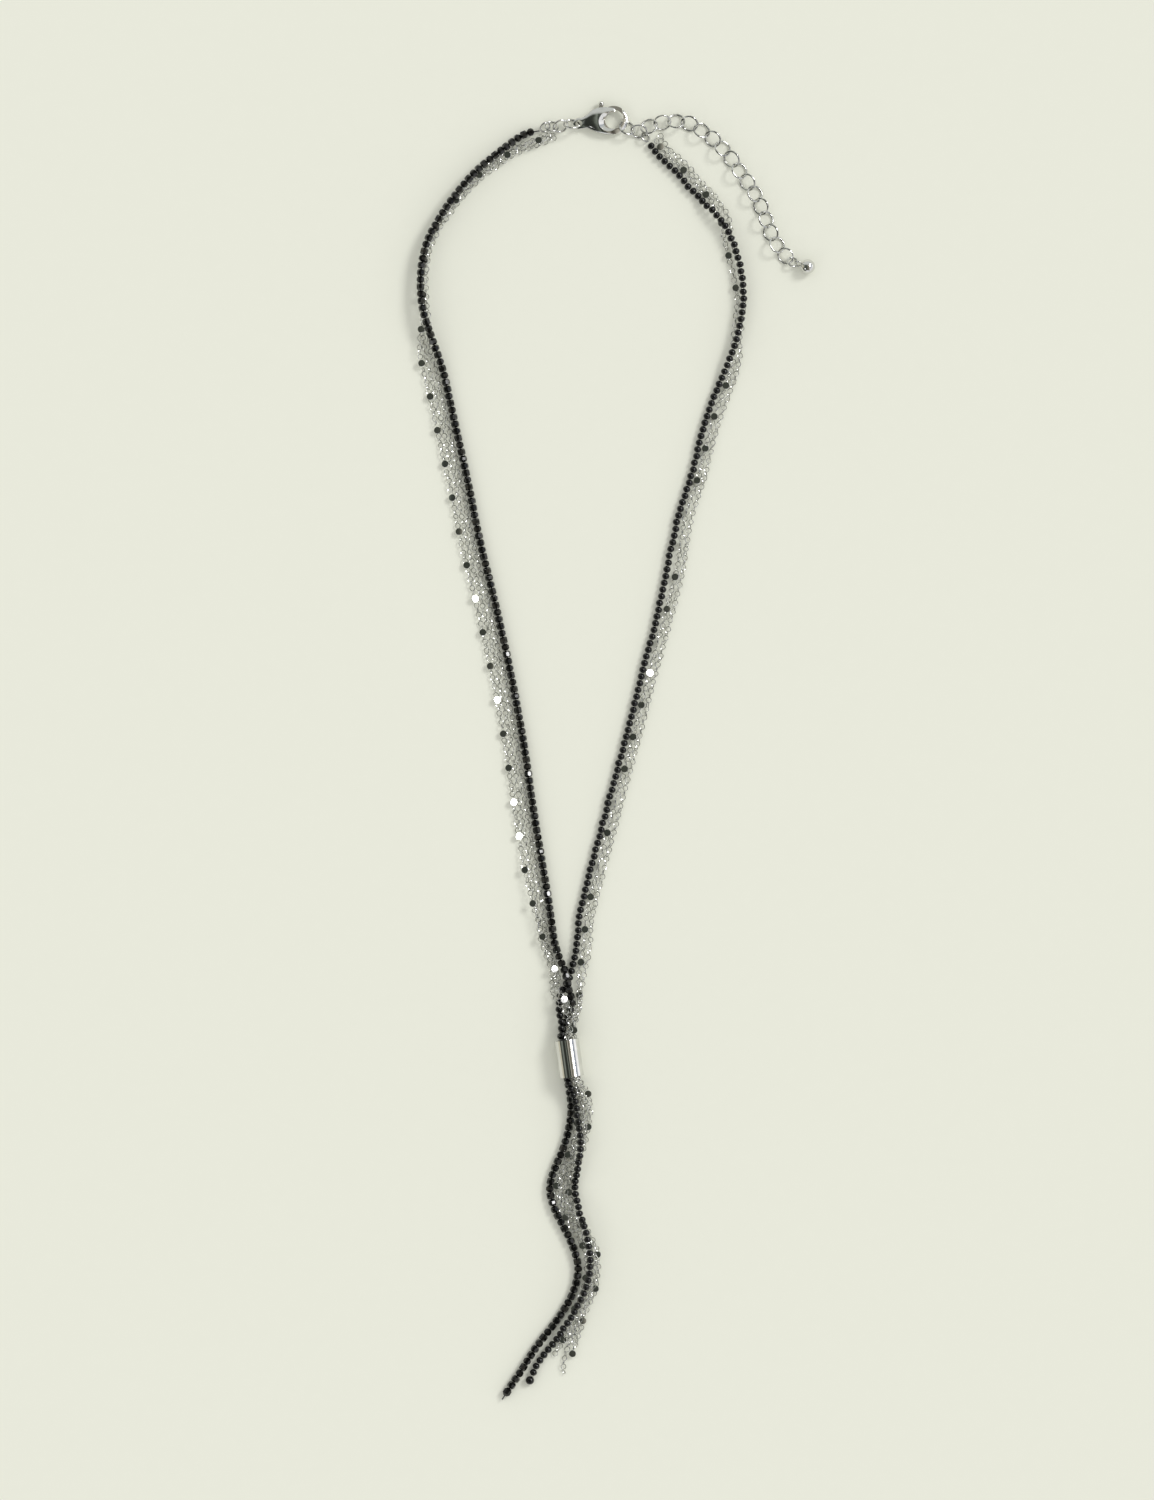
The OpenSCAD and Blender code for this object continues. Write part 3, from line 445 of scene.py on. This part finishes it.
def smooth_line(points, parts=6):
    """The same line with rounded bends, and the distance to each of its points."""
    last = len(points) - 1
    ways = []
    for i, p in enumerate(points):
        before, after = points[max(i - 1, 0)], points[min(i + 1, last)]
        ways.append((after - before).normalized())
    line = []
    for i in range(last):
        a, b = points[i], points[i + 1]
        span = (b - a).length
        for k in range(parts):
            u = k / parts
            line.append(
                a * (2 * u ** 3 - 3 * u ** 2 + 1) + ways[i] * span * (u ** 3 - 2 * u ** 2 + u)
                + b * (3 * u ** 2 - 2 * u ** 3) + ways[i + 1] * span * (u ** 3 - u ** 2))
    line.append(points[last])
    far = [0.0]
    for a, b in zip(line, line[1:]):
        far.append(far[-1] + (b - a).length)
    return line, far


def point_at(route, s):
    """The point at a distance along a smooth line."""
    line, far = route
    low, high = 0, len(far) - 1
    while high - low > 1:
        middle = (low + high) // 2
        if far[middle] <= s:
            low = middle
        else:
            high = middle
    return line[low].lerp(line[high], (s - far[low]) / (far[high] - far[low]))


def place_at(route, s, roll=0.0, yaw=0.0, aside=0.0):
    """Turns and moves a pattern that lies along X to a distance along a line."""
    ahead = point_at(route, min(s + WAY_REACH, route[1][-1]))
    behind = point_at(route, max(s - WAY_REACH, 0.0))
    x = (ahead - behind).normalized()
    y = Vector((0, 0, 1)).cross(x).normalized()
    z = x.cross(y)
    turned = Matrix((x, y, z)).transposed().to_4x4()
    return (
        Matrix.Translation(point_at(route, s) + y * aside) @ turned
        @ Matrix.Rotation(yaw, 4, "Z") @ Matrix.Rotation(roll, 4, "X"))


# Pieces

def start(kind, **sizes):
    """Adds a primitive with nothing else selected and enters edit mode with nothing selected in it."""
    if bpy.context.object and bpy.context.object.mode != "OBJECT":
        bpy.ops.object.mode_set(mode="OBJECT")
    bpy.ops.object.select_all(action="DESELECT")
    getattr(bpy.ops.mesh, "primitive_%s_add" % kind)(**sizes)
    made = bpy.context.object
    bpy.ops.object.mode_set(mode="EDIT")
    bpy.ops.mesh.select_all(action="DESELECT")
    return made


def pick(made, part, test):
    """Selects the vertices, edges or faces of the mesh in edit mode that pass a test."""
    bpy.ops.mesh.select_mode(type={"verts": "VERT", "edges": "EDGE", "faces": "FACE"}[part])
    bpy.ops.mesh.select_all(action="DESELECT")
    shape = bmesh.from_edit_mesh(made.data)
    for item in getattr(shape, part):
        item.select_set(test(item))
    bmesh.update_edit_mesh(made.data)


def finish_shape(made):
    """Leaves edit mode and smooths the piece's shading."""
    bpy.ops.object.mode_set(mode="OBJECT")
    bpy.ops.object.shade_smooth_by_angle(angle=SMOOTH_BELOW)


def strung(name, pattern, places, material):
    """One piece with a copy of the pattern at each place."""
    seed = pattern.data
    count = len(seed.vertices)
    points = []
    for place in places:
        copy = [place @ v.co for v in seed.vertices]
        # each copy is kept above the table and inside the CAD model's left side
        shift = Vector((
            max(0.0, CAD_BOX[0][0] - min(p.x for p in copy)), 0,
            max(0.0, CLEAR - min(p.z for p in copy))))
        points += [p + shift for p in copy]
    faces = [[i + k * count for i in f.vertices] for k in range(len(places)) for f in seed.polygons]
    mesh = bpy.data.meshes.new(name)
    mesh.from_pydata(points, [], faces)
    mesh.update()
    made = bpy.data.objects.new(name, mesh)
    bpy.context.scene.collection.objects.link(made)
    bpy.ops.object.select_all(action="DESELECT")
    made.select_set(True)
    bpy.context.view_layer.objects.active = made
    bpy.ops.object.shade_smooth_by_angle(angle=SMOOTH_BELOW)
    dress(made, material)
    return made


def dress(made, material):
    """Gives a new piece its material and its body."""
    made.data.materials.clear()
    made.data.materials.append(material)
    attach(made, BODY)


def recolour(names, material):
    """Gives CAD nodes a material."""
    for name in names:
        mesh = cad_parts[name].data
        mesh.materials.clear()
        mesh.materials.append(material)


def drop_pattern(pattern):
    """Removes a pattern once its copies are made."""
    bpy.data.objects.remove(pattern)


def link_pattern():
    """A round link of a fine chain, stretched a little along the chain."""
    sizes = settings("sizes")
    wire = sizes.link_wire / 2
    made = start(
        "torus", major_segments=12, minor_segments=5,
        major_radius=sizes.link / 2 - wire, minor_radius=wire)
    pick(made, "verts", lambda v: v.co.x > NEAR)
    bpy.ops.transform.translate(value=(LINK_STRETCH, 0, 0))
    pick(made, "verts", lambda v: v.co.x < -NEAR)
    bpy.ops.transform.translate(value=(-LINK_STRETCH, 0, 0))
    finish_shape(made)
    return made


def bead_pattern():
    """A round bead, a little shorter along its bore and flattened at the two ends of it."""
    sizes = settings("sizes")
    made = start(
        "uv_sphere", segments=14, ring_count=9, radius=sizes.bead / 2,
        rotation=(0, math.pi / 2, 0))
    bpy.ops.object.mode_set(mode="OBJECT")
    bpy.ops.object.transform_apply(location=False, rotation=True, scale=False)
    bpy.ops.object.mode_set(mode="EDIT")
    pick(made, "verts", lambda v: abs(v.co.x) > sizes.bead * BEAD_END)
    bpy.ops.transform.resize(value=(BEAD_END_FLAT, 1, 1))
    bpy.ops.mesh.select_all(action="SELECT")
    bpy.ops.transform.resize(value=(sizes.bead_length / sizes.bead, 1, 1))
    finish_shape(made)
    return made


def disc_pattern():
    """A flat disc with a rubbed round edge and the least dome."""
    sizes = settings("sizes")
    half = sizes.disc_thick / 2
    made = start("cylinder", vertices=20, radius=sizes.disc / 2, depth=sizes.disc_thick)
    pick(made, "edges", lambda e: all(abs(abs(v.co.z) - half) < NEAR for v in e.verts))
    bpy.ops.mesh.bevel(offset=DISC_WORN, segments=1, affect="EDGES")
    pick(made, "faces", lambda f: abs(f.normal.z) > 0.99 and len(f.verts) > 4)
    bpy.ops.mesh.inset(thickness=sizes.disc * DISC_RIM)
    bpy.ops.transform.resize(value=(1, 1, DISC_DOME))
    finish_shape(made)
    return made


def clasp_place():
    """Where the clasp's plane lies, worked out from the box of its body."""
    low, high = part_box("clasp_body")
    hook_y = low[1] + HOOK_OUT
    eye = Vector((low[0] + EYE_OUT, hook_y - CLASP_REACH * math.sin(CLASP_TURN), CLASP_MIDDLE))
    return Matrix.Translation(eye) @ Matrix.Rotation(CLASP_TURN, 4, "Z")


def lofted_clasp():
    """The clasp's teardrop, drawn out of a disc section by section."""
    start_at, wide, thick, aside = CLASP_SECTIONS[0]
    made = start(
        "cylinder", vertices=28, radius=1 * MM, depth=DRAWN_FROM,
        rotation=(0, math.pi / 2, 0))
    bpy.ops.object.mode_set(mode="OBJECT")
    bpy.ops.object.transform_apply(location=False, rotation=True, scale=False)
    bpy.ops.object.mode_set(mode="EDIT")
    # the section is fuller than an oval, as a casting's is
    pick(made, "verts", lambda v: min(abs(v.co.y), abs(v.co.z)) > FULL_BEYOND)
    bpy.ops.transform.resize(value=(1, FULLER, FULLER))
    bpy.ops.mesh.select_all(action="SELECT")
    bpy.ops.transform.resize(value=(1, wide, thick))
    bpy.ops.transform.translate(value=(start_at * MM, 0, 0))
    pick(made, "faces", lambda f: f.normal.x > 0.9)
    for next_at, next_wide, next_thick, next_aside in CLASP_SECTIONS[1:]:
        bpy.ops.mesh.extrude_region_move(TRANSFORM_OT_translate={
            "value": ((next_at - start_at) * MM, (next_aside - aside) * MM, 0)})
        bpy.ops.transform.resize(value=(1, next_wide / wide, next_thick / thick))
        start_at, wide, thick, aside = next_at, next_wide, next_thick, next_aside
    bpy.ops.object.mode_set(mode="OBJECT")
    return made


def cut_out(made, kind, **sizes):
    """Takes a primitive's shape out of a piece."""
    bpy.ops.object.select_all(action="DESELECT")
    getattr(bpy.ops.mesh, "primitive_%s_add" % kind)(**sizes)
    cutter = bpy.context.object
    bpy.ops.object.transform_apply(location=False, rotation=False, scale=True)
    bpy.ops.object.select_all(action="DESELECT")
    made.select_set(True)
    bpy.context.view_layer.objects.active = made
    cut = made.modifiers.new("cut", "BOOLEAN")
    cut.object = cutter
    cut.solver = "EXACT"
    bpy.ops.object.modifier_apply(modifier=cut.name)
    bpy.data.objects.remove(cutter)


class NECKLACE_OT_studio(bpy.types.Operator):
    """Adds the table, the lights and the camera"""
    bl_idname = "necklace.studio"
    bl_label = "Studio"

    def execute(self, context):
        light = settings("light")
        bpy.ops.object.select_all(action="DESELECT")
        bpy.ops.mesh.primitive_plane_add(size=TABLE_WIDE)
        table = context.object
        table.name = "table"
        table.data.materials.append(painted_board(settings("colours").table))
        for name, strength, wide, way in (
            ("key", light.key, *KEY),
            ("fill", light.fill, *FILL),
        ):
            bpy.ops.object.light_add(type="SUN")
            sun = context.object
            sun.name = name + "_light"
            sun.data.energy = strength
            sun.data.angle = math.radians(wide)
            sun.rotation_mode = "QUATERNION"
            sun.rotation_quaternion = Vector(way).to_track_quat("Z", "Y")
        self.light_room(light.room, light.cards)
        bpy.ops.object.camera_add(location=(*PICTURE_MIDDLE, CAMERA_HEIGHT))
        camera = context.object
        camera.data.sensor_width = SENSOR
        camera.data.lens = SENSOR * CAMERA_HEIGHT / PICTURE_HEIGHT
        camera.data.clip_end = 100.0
        context.scene.camera = camera
        context.scene.view_settings.view_transform = "Standard"
        return {"FINISHED"}

    def light_room(self, strength, cards):
        """Even light for matt surfaces, and for polished ones a dark room with cards and a lamp."""
        world = bpy.data.worlds.new("studio room")
        bpy.context.scene.world = world
        world.use_nodes = True
        tree = world.node_tree
        tree.nodes.clear()
        way = add_node(tree, "ShaderNodeTexCoord").outputs["Generated"]
        axes = add_node(tree, "ShaderNodeSeparateXYZ", {"Vector": way}).outputs
        share = add_node(tree, "ShaderNodeMapRange", {"Value": axes["X"]}, {"From Min": -1.0})
        ramp = add_node(tree, "ShaderNodeValToRGB", {"Fac": share.outputs["Result"]})
        set_stops(ramp.color_ramp, [(place, linear(code)) for place, code in ROOM])
        power = add_node(
            tree, "ShaderNodeMapRange", {"Value": axes["Y"]},
            {"From Min": FRONT, "From Max": BACK,
             "To Min": FRONT_POWER * cards, "To Max": BACK_POWER * cards})
        card = {}
        for name, (axis, edge, full) in CARD_EDGES.items():
            card[name] = add_node(
                tree, "ShaderNodeMapRange", {"Value": axes[axis]},
                {"From Min": edge, "From Max": full}).outputs["Result"]
        upper_card = add_node(
            tree, "ShaderNodeMixRGB", {"Fac": card["above"], "Color1": ramp.outputs["Color"]},
            {"Color2": linear(UPPER_CARD)})
        # white cards low at the right and in front
        low_right = add_node(
            tree, "ShaderNodeMath", {0: card["right"], 1: card["low"]}, operation="MULTIPLY")
        low_card = add_node(
            tree, "ShaderNodeMath", {0: low_right.outputs["Value"], 1: card["nearer"]},
            operation="MULTIPLY")
        where = add_node(
            tree, "ShaderNodeMath", {0: low_card.outputs["Value"], 1: card["front"]},
            operation="MAXIMUM")
        white_card = add_node(
            tree, "ShaderNodeMixRGB",
            {"Fac": where.outputs["Value"], "Color1": upper_card.outputs["Color"]},
            {"Color2": linear(WHITE_CARD)})
        # the lamp itself, which flashes in a facet and stands as a small spot on round glass
        near = add_node(
            tree, "ShaderNodeVectorMath", {0: way}, {1: Vector(LAMP_WAY).normalized()},
            operation="DOT_PRODUCT")
        within = add_node(
            tree, "ShaderNodeMapRange", {"Value": near.outputs["Value"]},
            {"From Min": math.cos(math.radians(LAMP_WIDE)),
             "From Max": math.cos(math.radians(LAMP_WIDE - LAMP_SOFT))})
        lamp = add_node(
            tree, "ShaderNodeMixRGB",
            {"Fac": within.outputs["Result"], "Color1": white_card.outputs["Color"]},
            {"Color2": (LAMP_BRIGHT, LAMP_BRIGHT, LAMP_BRIGHT, 1.0)})
        mirrored = add_node(
            tree, "ShaderNodeBackground",
            {"Color": lamp.outputs["Color"], "Strength": power.outputs["Result"]})
        even = add_node(tree, "ShaderNodeBackground", None, {"Strength": strength})
        plain = add_node(
            tree, "ShaderNodeBackground", None, {"Color": settings("colours").table, "Strength": 1.0})
        ray = add_node(tree, "ShaderNodeLightPath").outputs
        lit = add_node(
            tree, "ShaderNodeMixShader",
            {0: ray["Is Glossy Ray"], 1: even.outputs["Background"], 2: mirrored.outputs["Background"]})
        both = add_node(
            tree, "ShaderNodeMixShader",
            {0: ray["Is Camera Ray"], 1: lit.outputs["Shader"], 2: plain.outputs["Background"]})
        add_node(tree, "ShaderNodeOutputWorld", {"Surface": both.outputs["Shader"]})


class NECKLACE_OT_faceted_string(bpy.types.Operator):
    """Finishes the faceted beads and their thread"""
    bl_idname = "necklace.faceted_string"
    bl_label = "Faceted beads and thread"

    def execute(self, context):
        colours = settings("colours")
        # cut glass keeps crisp facets, each with its own faint wheel marks
        recolour(FACETED, jet_glass(
            "jet glass cut and fire polished", colours.faceted, bead=2.1 * MM, paler=1.8,
            rough_low=0.04, rough_high=0.1, mark=0.25 * MM, bump=0.1, lustre=1.52))
        recolour(("faceted_thread",), twisted_nylon(colours.thread))
        return {"FINISHED"}


class NECKLACE_OT_round_beads(bpy.types.Operator):
    """Strings the round beads along the neck and the tail"""
    bl_idname = "necklace.round_beads"
    bl_label = "Round beads"

    def execute(self, context):
        sizes = settings("sizes")
        # pressed glass is tumbled till it mirrors the lights as small round spots
        glass = jet_glass(
            "jet glass pressed and tumbled", settings("colours").round, bead=2.0 * MM, paler=1.5,
            rough_low=0.05, rough_high=0.1, mark=0.3 * MM, bump=0.04, lustre=1.46)
        pattern = bead_pattern()
        chance = random.Random(BEAD_DRAW)
        for name in ("round_beads_neck", "round_beads_tail"):
            route = smooth_line(middle_line(name))
            # the pitch is stretched a little so that the string is filled to its end
            count = round((route[1][-1] - sizes.bead) / sizes.bead_pitch) + 1
            pitch = (route[1][-1] - sizes.bead) / (count - 1)
            places = [
                place_at(route, sizes.bead / 2 + k * pitch, roll=chance.uniform(0, BEAD_TURN),
                         aside=chance.uniform(-1, 1) * sizes.bead_sway)
                @ Matrix.Scale(chance.uniform(BEAD_LEAST, 1.0), 4)
                for k in range(count)]
            beads = strung(name.replace("beads", "bead_string"), pattern, places, glass)
            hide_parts(name)
        drop_pattern(pattern)
        recolour(("round_end_bead",), glass)
        return {"FINISHED"}


class NECKLACE_OT_chains(bpy.types.Operator):
    """Links the five fine chains and sets the discs on two of them"""
    bl_idname = "necklace.chains"
    bl_label = "Chains and discs"

    def execute(self, context):
        sizes = settings("sizes")
        metal = settings("colours").metal
        # wire of a fine chain glitters in the lamp; random spots of its colour are painted darker,
        # painted reflection of the dark room
        wire = plated(
            "rhodium plated wire drawn and tumbled", metal, painted_dark=0.55, rough_low=0.05,
            rough_high=0.12, grain=0.2 * MM, bump=0.1, spot=0.7 * MM)
        # a stamped disc is flat enough to mirror one card or one dark corner as a whole
        sheet = plated(
            "rhodium plated disc stamped and polished", metal, painted_dark=0.9, rough_low=0.03,
            rough_high=0.08, grain=0.3 * MM, bump=0.05)
        link, disc = link_pattern(), disc_pattern()
        chance = random.Random(CHAIN_DRAW)
        for name in PLAIN_CHAINS + DISC_CHAINS:
            route = smooth_line(middle_line(name))
            length = route[1][-1]
            discs = []
            if name in DISC_CHAINS:
                pitch = getattr(sizes, name.split("_")[0] + "_disc_pitch")
                count = int((length - FIRST_DISC[name] - sizes.disc) / pitch) + 1
                discs = [FIRST_DISC[name] + k * pitch for k in range(count)]
            places = []
            for k in range(int((length - sizes.link) / sizes.link_pitch) + 1):
                s = sizes.link / 2 + k * sizes.link_pitch
                if all(abs(s - d) > sizes.disc * DISC_FREE for d in discs):
                    # every second link stands on edge in the one before it
                    lean = math.pi / 2 * (k % 2) + chance.uniform(-LINK_LEAN, LINK_LEAN)
                    places.append(
                        place_at(route, s + chance.uniform(-LINK_SLIP, LINK_SLIP) * MM, roll=lean,
                                 yaw=chance.uniform(-LINK_TURN, LINK_TURN),
                                 aside=chance.uniform(-LINK_SLIP, LINK_SLIP) * MM)
                        @ Matrix.Scale(chance.uniform(LINK_LEAST, 1.0), 4))
            chain = strung(name.replace("chain", "chain_links"), link, places, wire)
            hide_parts(name)
            if discs:
                places = []
                for k, d in enumerate(discs):
                    tilt = DISC_TILT + chance.uniform(*DISC_TILT_PLAY)
                    if k in DISC_GLINTS[name]:
                        tilt = DISC_GLINT_TILT
                    elif k in DISCS_ON_EDGE[name]:
                        tilt = DISC_EDGE_TILT
                    places.append(
                        Matrix.Translation(point_at(route, d) + Vector((0, 0, sizes.link * DISC_RISE)))
                        @ Matrix.Rotation(tilt, 4, "Y")
                        @ Matrix.Rotation(chance.uniform(*DISC_NOD), 4, "X"))
                strung(name.replace("chain", "chain_discs"), disc, places, sheet)
        drop_pattern(link)
        drop_pattern(disc)
        return {"FINISHED"}


class NECKLACE_OT_clasp(bpy.types.Operator):
    """Draws out the clasp's body and cuts its eye, its opening and the lever's slot"""
    bl_idname = "necklace.clasp"
    bl_label = "Clasp body"

    def execute(self, context):
        made = lofted_clasp()
        cut_out(made, "cylinder", vertices=32, radius=EYE_HOLE, depth=CUT_TALL)
        cut_out(
            made, "cylinder", vertices=48, radius=OPENING, depth=CUT_TALL,
            location=(CLASP_REACH, 0, 0))
        # a wide bevel towards the eye, which shows from above as a crescent
        cut_out(made, "cone", vertices=48, location=RIM_CONE_AT, **RIM_CONE)
        # way of the lever: the gap that it closes, and its slot between two cheeks
        cut_out(made, "cube", size=1, scale=GAP, location=GAP_AT)
        cut_out(made, "cube", size=1, scale=SLOT, location=SLOT_AT)
        edges = made.modifiers.new("edges", "BEVEL")
        edges.width = CLASP_EDGE
        edges.segments = 2
        edges.limit_method = "ANGLE"
        edges.angle_limit = SMOOTH_BELOW
        bpy.ops.object.modifier_apply(modifier=edges.name)
        bpy.ops.object.mode_set(mode="EDIT")
        bpy.ops.mesh.primitive_cylinder_add(
            vertices=20, radius=PIN_RADIUS, depth=PIN_LONG, location=(*PIN_AT, 0))
        bpy.ops.object.mode_set(mode="OBJECT")
        made.matrix_world = clasp_place()
        bpy.ops.object.transform_apply(location=True, rotation=True, scale=True)
        bpy.ops.object.shade_smooth_by_angle(angle=CLASP_SMOOTH_BELOW)
        made.name = "clasp_body_cast"
        # cast, tumbled and plated: its round flanks mirror the paler room, its middle the dark
        dress(made, plated(
            "rhodium plated clasp cast and tumbled", settings("colours").metal, painted_dark=0.92,
            rough_low=0.08, rough_high=0.14, grain=0.5 * MM, bump=0.03))
        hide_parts("clasp_body")
        return {"FINISHED"}


class NECKLACE_OT_metal_parts(bpy.types.Operator):
    """Finishes the slider tube, the clasp's lever, the rings, the extender and the end ball"""
    bl_idname = "necklace.metal_parts"
    bl_label = "Clasp, rings and tube"

    def execute(self, context):
        metal = settings("colours").metal
        # cast and drawn parts are buffed bright before plating
        recolour(POLISHED, plated(
            "rhodium plated brass buffed", metal, painted_dark=0.92, rough_low=0.05, rough_high=0.1,
            grain=0.4 * MM, bump=0.03))
        # rings: random spots of their colour are painted darker, painted reflection of the dark room
        recolour(RINGS, plated(
            "rhodium plated ring wire buffed", metal, painted_dark=0.5, rough_low=0.05, rough_high=0.1,
            grain=0.3 * MM, bump=0.05, spot=1.2 * MM))
        return {"FINISHED"}


class NECKLACE_PT_panel(bpy.types.Panel):
    """Lists the necklace's settings and its pieces"""
    bl_idname = "NECKLACE_PT_panel"
    bl_label = "Lariat necklace"
    bl_space_type = "VIEW_3D"
    bl_region_type = "UI"
    bl_category = "Necklace"

    def draw(self, context):
        for kind in ("sizes", "colours", "light"):
            group = settings(kind)
            box = self.layout.box()
            for name in group.bl_rna.properties.keys():
                if name not in ("rna_type", "name"):
                    box.prop(group, name)
        for piece in PIECES:
            self.layout.operator(piece.bl_idname)


PIECES = (
    NECKLACE_OT_studio, NECKLACE_OT_faceted_string, NECKLACE_OT_round_beads,
    NECKLACE_OT_chains, NECKLACE_OT_clasp, NECKLACE_OT_metal_parts,
)
GROUPS = {"sizes": NecklaceSizes, "colours": NecklaceColours, "light": NecklaceLight}


def register():
    for kind, group in GROUPS.items():
        bpy.utils.register_class(group)
        setattr(bpy.types.Scene, "necklace_" + kind, PointerProperty(type=group))
    for piece in PIECES + (NECKLACE_PT_panel,):
        bpy.utils.register_class(piece)


def unregister():
    for piece in (NECKLACE_PT_panel,) + PIECES[::-1]:
        bpy.utils.unregister_class(piece)
    for kind, group in GROUPS.items():
        delattr(bpy.types.Scene, "necklace_" + kind)
        bpy.utils.unregister_class(group)


def main():
    """Makes every piece in order."""
    register()
    bpy.ops.necklace.studio()
    bpy.ops.necklace.faceted_string()
    bpy.ops.necklace.round_beads()
    bpy.ops.necklace.chains()
    bpy.ops.necklace.clasp()
    bpy.ops.necklace.metal_parts()


if __name__ == "__main__":
    main()
